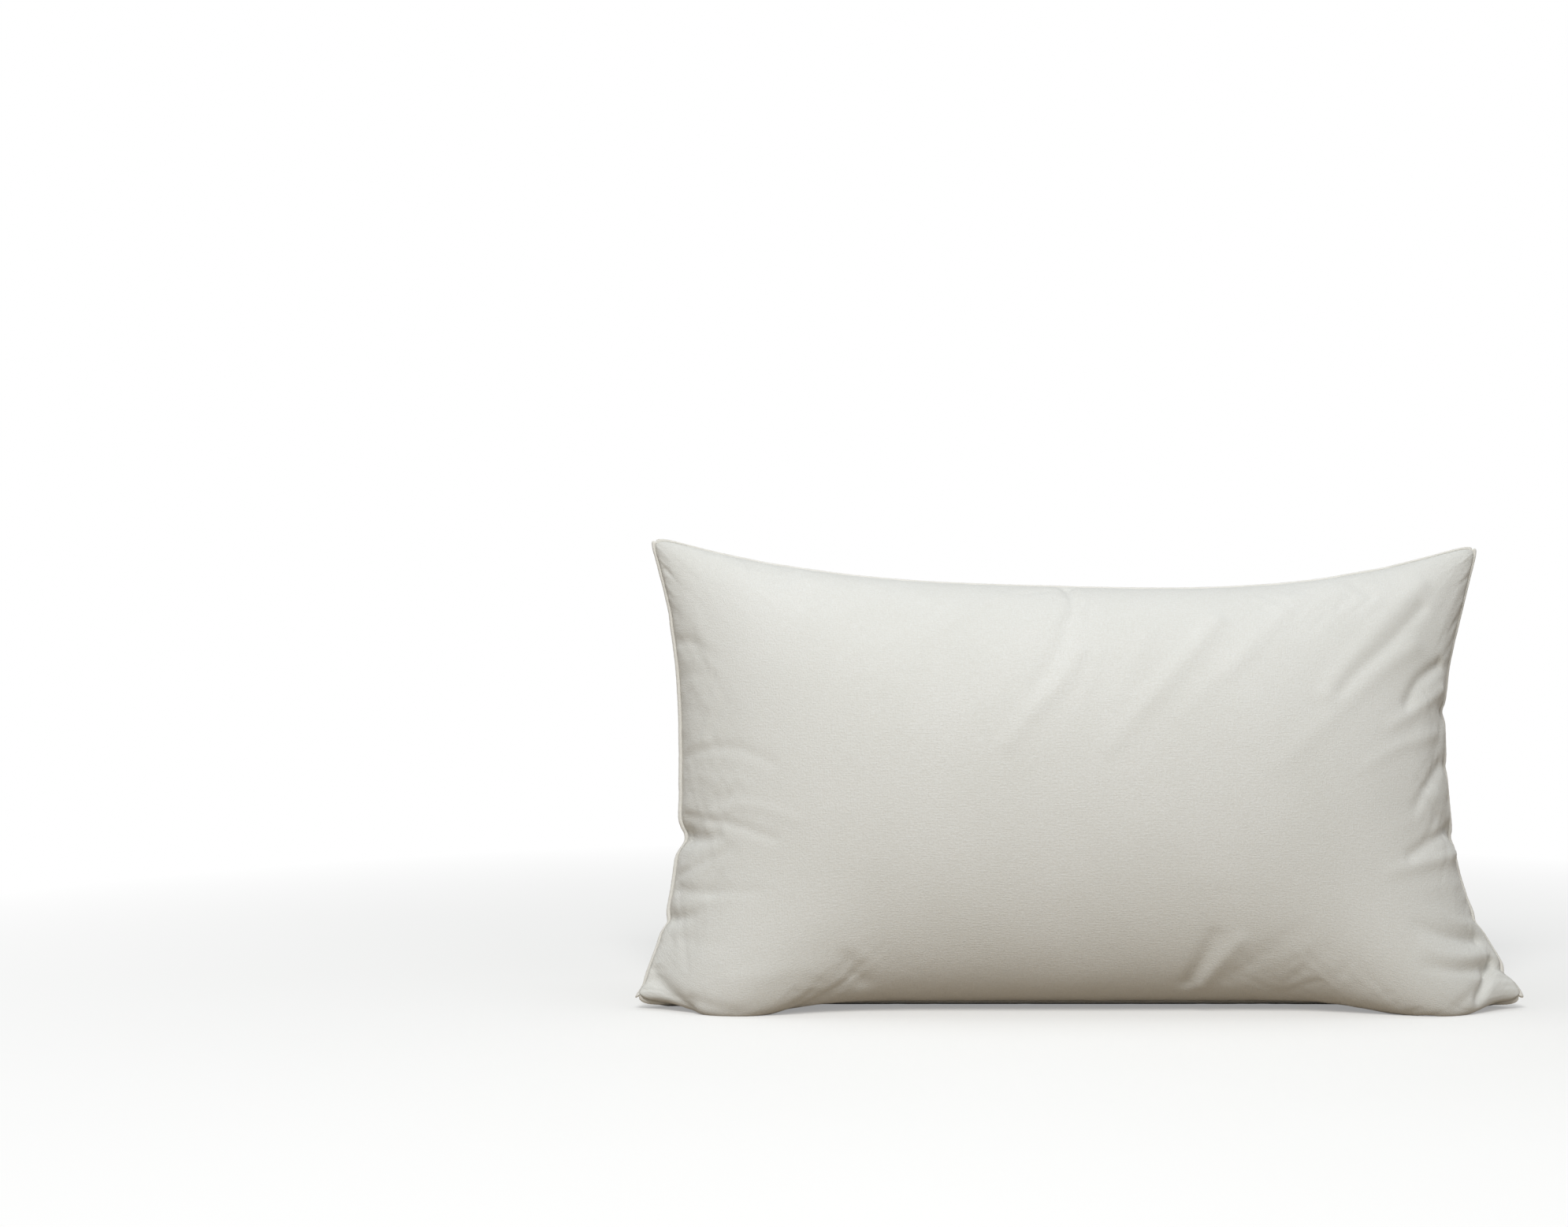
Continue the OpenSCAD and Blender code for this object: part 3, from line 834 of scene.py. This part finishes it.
def shell(name, cells, side, outer, inner, hems=()):
    """A closed sheet between two skins, with hems at the seam, from the outer skin in."""
    s, t = cloth_grid(cells)
    rs, rt = rim_walk(cells)
    a, b = skin(cells, side, *outer), skin(cells, side, *inner)
    size, count = a.shape[0] * a.shape[1], len(rs)
    loops = [on_ground(along_seam(rs, rt, -out, side * w), 0) for out, w in hems]
    rim = rim_numbers(cells)
    numbers = [rim, *(2 * size + k * count + np.arange(count) for k in range(len(hems))), size + rim]
    over = side == BACK
    quads = [grid_quads(cells, 0, over), grid_quads(cells, size, not over)]
    quads += [band_quads(p, q, over) for p, q in zip(numbers, numbers[1:])]
    flat = flat_places(s, t)
    seam = near_seam(s, t).ravel()
    rim_flat = flat[rim]
    return mesh_piece(
        name,
        np.concatenate([a.reshape(-1, 3), b.reshape(-1, 3), *loops]),
        np.concatenate(quads),
        np.concatenate([flat, flat, *[rim_flat] * len(hems)]),
        np.concatenate([seam, seam, np.ones(count * len(hems))]),
    )


# How far each panel's edge stands out over the piping
OVERHANG = 0.0011
hems = [
    (0, SEAM_HALF), (ALLOWANCE, SEAM_HALF), (ALLOWANCE, SEAM_HALF + TICKING),
    (TICKING, SEAM_HALF + TICKING),
]
for side, name in ((FRONT, "front_ticking"), (BACK, "back_ticking")):
    piece = shell(
        name + "_cloth", CELLS, side,
        (-OVERHANG, 0, SHOULDER), (TICKING, TICKING, SHOULDER - TICKING), hems,
    )
    finish_piece(
        piece, "ticking_front" if side == FRONT else "ticking_back", "pillow", name
    )

# ---- The piping ----

def strip_outline(steps=20):
    """Outline of the bias strip: in along one side of the seam, round the cord, and back."""
    slit = 0.00012
    half = slit + STRIP
    outer, inner = math.asin(half / BEAD_RADIUS), math.asin(slit / (BEAD_RADIUS - STRIP))
    a = np.pi - outer - np.arange(steps + 1) * 2 * (np.pi - outer) / steps
    b = inner - np.pi + np.arange(steps + 1) * 2 * (np.pi - inner) / steps
    r = BEAD_RADIUS - STRIP
    return np.array(
        [(-ALLOWANCE, half)]
        + [(BEAD_CENTRE + BEAD_RADIUS * math.cos(x), BEAD_RADIUS * math.sin(x)) for x in a]
        + [(-ALLOWANCE, -half), (-ALLOWANCE, -slit)]
        + [(BEAD_CENTRE + r * math.cos(x), r * math.sin(x)) for x in b]
        + [(-ALLOWANCE, slit)]
    )


rs, rt = rim_walk((480, 300))
outline = strip_outline()
turn = np.arange(len(rs))[:, None]
bead = np.clip((outline[None, :, 0] + 0.0005) / 0.002, 0, 1)
pull = 0.00007 * np.sin(turn * 1.9 + 1.5 * np.sin(turn * 0.37)) * bead
angle = np.arctan2(outline[None, :, 1], outline[None, :, 0] - BEAD_CENTRE)
out = outline[None, :, 0] + pull * np.cos(angle)
w = outline[None, :, 1] + pull * np.sin(angle)
rings = along_seam(rs[:, None] + 0 * out, rt[:, None] + 0 * out, out, w)
sleeve = ring_tube("piping_bias_strip", on_ground(rings, 0.0)[:, ::-1])
finish_piece(sleeve, "piping_strip", "pillow", "piping_sleeve")

rs, rt = rim_walk((1440, 900))
theta = np.arange(12) * 2 * np.pi / 12
twist = np.arange(len(rs))[:, None] * 2 * np.pi * 0.09
radius = CORD_RADIUS * (0.90 + 0.10 * np.abs(np.cos(1.5 * (theta[None] - twist))))
out = BEAD_CENTRE + radius * np.cos(theta)
w = -radius * np.sin(theta)
rings = along_seam(rs[:, None] + 0 * out, rt[:, None] + 0 * out, out, w)
finish_piece(ring_tube("piping_filler_cord", rings), "filler_cord", "pillow", "piping_cord")

# ---- The seam's threads: stitches that lie on each allowance and dip at their ends ----

def stitched_ring(name, cells, inward, w, radius, per_stitch=4, sides=6):
    rs, rt = rim_walk(cells)
    k = np.arange(len(rs))
    dip = 0.35 * radius * (1 + np.cos(2 * np.pi * k / per_stitch))
    theta = np.arange(sides) * 2 * np.pi / sides
    thick = radius * (0.92 - 0.10 * np.cos(2 * np.pi * k / per_stitch))
    out = -inward + thick[:, None] * np.cos(theta)
    up = (w - np.sign(w) * dip)[:, None] - thick[:, None] * np.sin(theta)
    return ring_tube(name, along_seam(rs[:, None] + 0 * out, rt[:, None] + 0 * out, out, up))


thread_w = SEAM_HALF + TICKING + THREAD_RADIUS + 0.00015
needle = stitched_ring("seam_needle_thread", (1000, 640), 0.004, -thread_w, THREAD_RADIUS)
bobbin = stitched_ring("seam_bobbin_thread", (1000, 640), 0.004, thread_w, THREAD_RADIUS)
finish_piece(needle, "thread", "pillow", "seam_thread")
finish_piece(bobbin, "thread", "pillow", "seam_thread")

# ---- Hand stitches that close the filling opening ----

def capsule_points(a, b, radius, sides=10, rings=9, arch=0.0002, way=(0, 1, 0)):
    """Rings of points along a stitch from a to b, with rounded ends."""
    axis = (b - a) / np.linalg.norm(b - a)
    side = np.cross(axis, way)
    side /= np.linalg.norm(side)
    up = np.cross(side, axis)
    f = np.linspace(0, 1, rings)
    x = 0.5 - 0.5 * np.cos(np.pi * f)
    r = radius * np.sqrt(np.clip(1 - (2 * f - 1) ** 6, 0.02, 1))
    theta = np.arange(sides) * 2 * np.pi / sides
    middle = a + x[:, None] * (b - a) + (arch * np.sin(np.pi * x))[:, None] * up
    return (
        middle[:, None]
        + (r[:, None] * np.cos(theta))[..., None] * side
        + (r[:, None] * np.sin(theta))[..., None] * up
    )


def closing_stitches():
    points, quads, flat = [], [], []
    count, opening, length = 30, (-0.36, 0.36), 0.0032
    pitch = (opening[1] - opening[0]) / count
    reach = length / MID_HEIGHT
    for n in range(count):
        v = opening[0] + (n + 0.5) * pitch
        ends = []
        for place, out in ((v - reach, 0.00075), (v + reach, 0.00085)):
            t = np.interp(place, ease(np.linspace(-1, 1, 401)), np.linspace(-1, 1, 401))
            ends.append(along_seam(np.float64(-1), np.float64(t), out, 0.00175))
        rings = capsule_points(ends[0], ends[1], 0.00030, way=turn_back(0.0, 0.0, 1.0))
        base, (m, k) = sum(len(p) for p in points), rings.shape[:2]
        i, j = np.meshgrid(np.arange(m - 1), np.arange(k), indexing="ij")
        a = base + (i * k + j).ravel()
        b = base + (i * k + (j + 1) % k).ravel()
        quads += np.stack([a, b, b + k, a + k], 1).tolist()
        quads.append([base + j for j in range(k)][::-1])
        quads.append([base + (m - 1) * k + j for j in range(k)])
        points.append(rings.reshape(-1, 3))
        x, y = np.meshgrid(np.linspace(0, 3.2, m), np.linspace(0, 1.9, k), indexing="ij")
        flat.append(np.stack([x, y], -1).reshape(-1, 2))
    me = bpy.data.meshes.new("closing_hand_stitches")
    me.from_pydata(np.concatenate(points).tolist(), [], quads)
    me.shade_smooth()
    layer = me.uv_layers.new(name="cloth")
    corners = np.empty(len(me.loops), int)
    me.loops.foreach_get("vertex_index", corners)
    layer.data.foreach_set("uv", np.concatenate(flat)[corners].astype(np.float32).ravel())
    face_outward(me)
    ob = bpy.data.objects.new(me.name, me)
    bpy.context.scene.collection.objects.link(ob)
    return ob


finish_piece(closing_stitches(), "thread", "pillow", "closing_stitches")

# ---- The filling ----

def lumps(p, size, height, seed):
    """Moves of soft lumps at points p, from 0 to -height."""
    flat = p.reshape(-1, 3) / size + seed
    value = np.array([noise.fractal(Vector(q), 0.9, 2.1, 3) for q in flat])
    return (-height * (0.5 + 0.5 * np.tanh(1.4 * value))).reshape(p.shape[:-1])


def soft_layer(name, side, slot, node):
    """The down between a panel of ticking and the core's bag."""
    cells = (108, 68)
    s, t = cloth_grid(cells)
    flat = flat_places(s, t)
    a = skin(cells, side, SOFT_RIM, SOFT_INSET + 0.0005, SEAM_HALF, 0.9)
    b = skin(cells, side, BAG_RIM - 2 * AIR, BAG_INSET - AIR, SEAM_HALF, 0.0)
    inside = (1 - np.maximum(np.abs(s), np.abs(t)) ** 12)[..., None]
    a = a + (lumps(a, 0.030, 0.0035, 3.1 * side)[..., None] * grid_normals(a, side)) * inside
    a = on_ground(a, SOFT_INSET)
    piece = mesh_piece(
        name, np.concatenate([a.reshape(-1, 3), b.reshape(-1, 3)]), sheet_quads(cells, side),
        np.concatenate([flat, flat]),
    )
    return finish_piece(piece, slot, "pillow", node)


def bag_panel(name, side, node):
    """A panel of the core's bag, drawn in a little at its seam."""
    cells = (120, 76)
    s, t = cloth_grid(cells)
    flat = flat_places(s, t)
    outer = skin(cells, side, BAG_RIM, BAG_INSET, AIR / 2, 0.0)
    inner = skin(cells, side, BAG_RIM + BAG_CLOTH, BAG_INSET + BAG_CLOTH, AIR / 2, 0.0)
    n = grid_normals(outer, side)
    pucker = np.maximum(np.abs(s) ** 10 * np.sin(70 * t), np.abs(t) ** 10 * np.sin(110 * s))
    inside = 1 - np.maximum(np.abs(s), np.abs(t)) ** 40
    deep = (lumps(outer, 0.045, 0.0016, 9.7 * side) - 0.0010 * (1 + pucker)) * inside
    move = deep[..., None] * n
    piece = mesh_piece(
        name,
        np.concatenate([(outer + move).reshape(-1, 3), (inner + move).reshape(-1, 3)]),
        sheet_quads(cells, side), np.concatenate([flat, flat]),
    )
    return finish_piece(piece, "bag_cloth", "pillow", node)


def core_filling():
    """The feathers inside the bag, as one lumpy solid."""
    cells = (112, 70)
    s, t = cloth_grid(cells)
    flat = flat_places(s, t)
    rim_in, inset = BAG_RIM + BAG_CLOTH + AIR, BAG_INSET + BAG_CLOTH + AIR
    sides = []
    inside = (1 - np.maximum(np.abs(s), np.abs(t)) ** 12)[..., None]
    for side in (FRONT, BACK):
        p = skin(cells, side, rim_in, inset + 0.0042, AIR / 2, 0.0)
        deep = lumps(p, 0.055, 0.0060, 5.3 * side)[..., None]
        sides.append(p + deep * grid_normals(p, side) * inside)
    piece = mesh_piece(
        "feather_core", np.concatenate([p.reshape(-1, 3) for p in sides]),
        sheet_quads(cells, FRONT), np.concatenate([flat, flat]),
    )
    return finish_piece(piece, "feather", "pillow", "core_filling")


front_down = soft_layer("front_down", FRONT, "down", "front_soft_layer")
back_down = soft_layer("back_down", BACK, "down", "back_soft_layer")
bag_front = bag_panel("core_bag_front_cloth", FRONT, "core_bag_front")
bag_back = bag_panel("core_bag_back_cloth", BACK, "core_bag_back")
core = core_filling()


def bag_thread():
    """The thread that closes the bag, round its edge."""
    rs, rt = rim_walk((640, 400))
    k = np.arange(len(rs))
    theta = np.arange(6) * 2 * np.pi / 6
    thick = THREAD_RADIUS * (0.92 - 0.10 * np.cos(np.pi / 2 * k))
    out = THREAD_RADIUS + AIR / 2 - BAG_RIM + thick[:, None] * np.cos(theta)
    w = -thick[:, None] * np.sin(theta)
    p = seam_point(ease(rs[:, None] + 0 * out), ease(rt[:, None] + 0 * out), out, w)
    return ring_tube("core_bag_stitching", p)


finish_piece(bag_thread(), "thread", "pillow", "core_bag_thread")

# ---- The labels ----

def label(name, place, width, length, body, node, curl):
    """A blank woven label: a ply of tape with turned edges, which curls a little."""
    thick = 0.00045
    reach = width / MID_HEIGHT
    low = seam_point(1.0, place - reach, *LABEL_ROOT)
    high = seam_point(1.0, place + reach, *LABEL_ROOT)
    along = (high - low) / np.linalg.norm(high - low)
    back = turn_back(0.0, 0.0, 1.0)
    side = np.cross(back, along)
    side /= np.linalg.norm(side)
    hang = math.atan2(-side[2], -back[2])
    middle = (low + high) / 2
    c, sn = math.cos(-hang), math.sin(-hang)
    x_way, y_way = c * side + sn * back, -sn * side + c * back
    cells = (44, 30)
    a, b = np.meshgrid(np.linspace(-1, 1, cells[0] + 1), np.linspace(0, 1, cells[1] + 1), indexing="ij")
    bend = curl * b**2 + 0.0009 * np.sin(2.6 * a + 1.2) * b + 0.0003 * np.sin(6.0 * b + 2.0 * a) * b
    hem = np.exp(-(((1 - np.abs(a)) / 0.05) ** 2)) + np.exp(-(((1 - b) / 0.06) ** 2))
    turned = 0.00012 * hem
    layers = []
    for sign in (1, -1):
        off = bend + sign * (thick / 2 + turned)
        layers.append(
            middle + (a * width / 2 * (1 - 0.004 * b))[..., None] * along
            + (b * length * (1 - 1.5 * (curl / length) ** 2))[..., None] * y_way
            + off[..., None] * x_way
        )
    flat = np.stack([a * width / 2, b * length], -1).reshape(-1, 2) * 1000
    piece = mesh_piece(
        name, np.concatenate([p.reshape(-1, 3) for p in layers]), sheet_quads(cells, FRONT),
        np.concatenate([flat, flat]),
    )
    face_outward(piece.data)
    return finish_piece(piece, "label_tape", body, node)


care = label("care_label_tape", CARE_PLACE, 0.060, 0.038, "care_label_leaf", "care_label", 0.0022)
size_tape = label("size_label_tape", SIZE_PLACE, 0.034, 0.030, "size_label_leaf", "size_label", 0.0010)

# ---- Floor, lights and camera ----

floor = mesh_piece(
    "floor", [(-14, -14, 0), (14, -14, 0), (14, 14, 0), (-14, 14, 0)], [(0, 1, 2, 3)]
)


FLOOR_BOUNCE = (0.40, 0.335, 0.26, 1)


def pale_floor():
    """A white studio sweep that fades into the backdrop, over a ground that gives a warm bounce."""
    m = Nodes("pale_floor")
    space = m.add("TexCoord").outputs["Object"]
    grain = m.noise(space, 3.0, 3.0)
    white = m.add(
        "BsdfDiffuse", Color=m.blend(grain, rgb(252, 252, 250), rgb(249, 249, 246)),
        Normal=m.bump(grain, 0.0005),
    ).outputs[0]
    warm = m.add("BsdfDiffuse", Color=FLOOR_BOUNCE).outputs[0]
    far = m.add("VectorMath", {"operation": "LENGTH"})
    m.put(far.inputs[0], space)
    fade = m.ramp(far.outputs["Value"], 0.45, 1.45, 0.30, 1.0)
    glow = m.add("Emission", Color=(1, 1, 1, 1), Strength=1.0).outputs[0]
    seen = m.add("LightPath").outputs["Is Camera Ray"]
    sweep = m.mixed(fade, white, glow)
    m.tree.links.new(m.mixed(seen, warm, sweep), m.tree.nodes["Material Output"].inputs["Surface"])
    m.tree.nodes.remove(m.shader)
    return m.material


floor.data.materials.append(pale_floor())

world = bpy.data.worlds.new("studio")
world.use_nodes = True
tree = world.node_tree
lit = tree.nodes["Background"]
lit.inputs["Color"].default_value = (0.97, 0.985, 1.0, 1)
lit.inputs["Strength"].default_value = 0.36
shown = tree.nodes.new("ShaderNodeBackground")
shown.inputs["Color"].default_value = (1, 1, 1, 1)
mix = tree.nodes.new("ShaderNodeMixShader")
path = tree.nodes.new("ShaderNodeLightPath")
tree.links.new(path.outputs["Is Camera Ray"], mix.inputs[0])
tree.links.new(lit.outputs[0], mix.inputs[1])
tree.links.new(shown.outputs[0], mix.inputs[2])
tree.links.new(mix.outputs[0], tree.nodes["World Output"].inputs["Surface"])
bpy.context.scene.world = world


def soft_light(name, place, target, size, power, colour=(1, 1, 1)):
    data = bpy.data.lights.new(name, "AREA")
    data.shape, data.size, data.size_y = "RECTANGLE", *size
    data.energy, data.color = power, colour
    ob = bpy.data.objects.new(name, data)
    ob.location = place
    ob.rotation_euler = (Vector(target) - Vector(place)).to_track_quat("-Z", "Y").to_euler()
    bpy.context.scene.collection.objects.link(ob)


soft_light("key", (-0.40, -2.02, 2.47), (0, 0, 0.2), (1.3, 1.1), 53.5)
soft_light("top", (-0.1, 0.5, 2.9), (0, 0, 0.2), (2.0, 1.4), 14, (0.96, 0.98, 1.0))

camera = bpy.data.objects.new("camera", bpy.data.cameras.new("camera"))
camera.data.lens, camera.data.sensor_width = 53.5, 36
camera.location = (-0.259, -2.098, 0.345)
camera.rotation_euler = (math.radians(90), 0, 0)
bpy.context.scene.collection.objects.link(camera)
bpy.context.scene.camera = camera
bpy.context.scene.view_settings.view_transform = "Standard"
